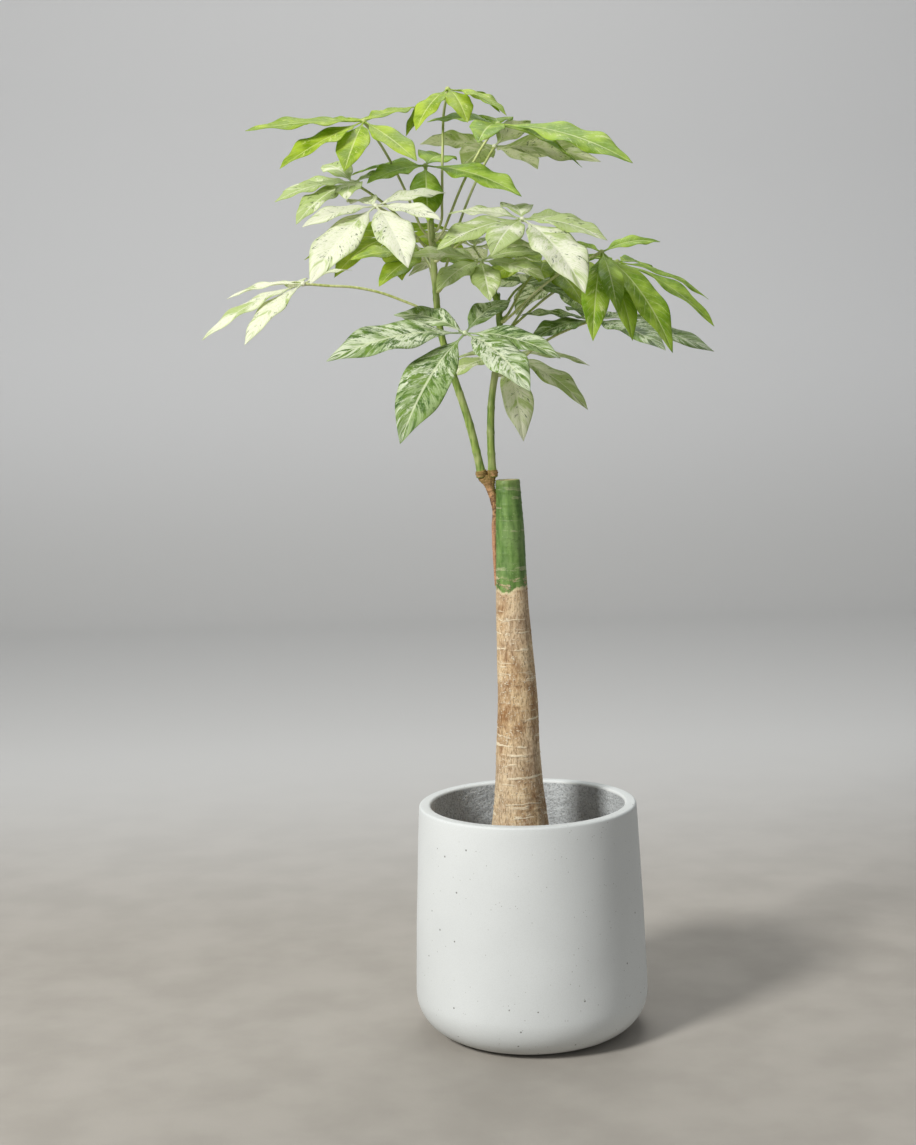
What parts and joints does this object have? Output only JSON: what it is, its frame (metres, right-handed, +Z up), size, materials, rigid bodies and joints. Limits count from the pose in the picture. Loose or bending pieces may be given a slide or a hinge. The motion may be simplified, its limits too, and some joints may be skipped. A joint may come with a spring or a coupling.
{
  "type": "potted money tree",
  "caption": "House plant: a cut-back woody trunk with a forked side shoot and variegated palmate leaves, standing in potting soil in a round, slightly tapered cast-stone planter.",
  "frame": {"origin": "centre of the planter's flat base, on the surface that it stands on", "axes": "+Z up along the planter's axis; -Y is the front, the side that the two lowest large leaves hang towards; +X is to the right seen from the front"},
  "size_m": [0.5968, 0.5228, 1.1215],
  "materials": {
    "cast_stone": "matte",
    "potting_soil": "matte",
    "trunk_bark": "matte",
    "shoot_wood": "matte",
    "green_stem": "satin",
    "petiole": "satin",
    "lime_leaf": "satin",
    "green_leaf": "satin",
    "cream_leaf": "satin",
    "mottled_leaf": "satin"
  },
  "bodies": {
    "root": {"pot": "cast_stone", "soil": "potting_soil", "trunk": "trunk_bark", "side_shoot": "shoot_wood", "stem_left": "green_stem", "stem_right": "green_stem", "bud_left": "green_stem", "bud_right": "green_stem", "leaf_01_petiole": "petiole", "leaf_01_blade": "cream_leaf", "leaf_02_petiole": "petiole", "leaf_02_blade": "mottled_leaf", "leaf_03_petiole": "petiole", "leaf_03_blade": "green_leaf", "leaf_04_petiole": "petiole", "leaf_04_blade": "cream_leaf", "leaf_05_petiole": "petiole", "leaf_05_blade": "lime_leaf", "leaf_06_petiole": "petiole", "leaf_06_blade": "green_leaf", "leaf_07_petiole": "petiole", "leaf_07_blade": "cream_leaf", "leaf_08_petiole": "petiole", "leaf_08_blade": "cream_leaf", "leaf_09_petiole": "petiole", "leaf_09_blade": "lime_leaf", "leaf_10_petiole": "petiole", "leaf_10_blade": "green_leaf", "leaf_11_petiole": "petiole", "leaf_11_blade": "mottled_leaf", "leaf_12_petiole": "petiole", "leaf_12_blade": "green_leaf", "leaf_13_petiole": "petiole", "leaf_13_blade": "cream_leaf", "leaf_14_petiole": "petiole", "leaf_14_blade": "lime_leaf", "leaf_15_petiole": "petiole", "leaf_15_blade": "mottled_leaf", "leaf_16_petiole": "petiole", "leaf_16_blade": "cream_leaf", "leaf_17_petiole": "petiole", "leaf_17_blade": "cream_leaf", "leaf_18_petiole": "petiole", "leaf_18_blade": "lime_leaf", "leaf_19_petiole": "petiole", "leaf_19_blade": "mottled_leaf", "leaf_20_petiole": "petiole", "leaf_20_blade": "cream_leaf", "leaf_21_petiole": "petiole", "leaf_21_blade": "lime_leaf"}
  },
  "joints": []
}
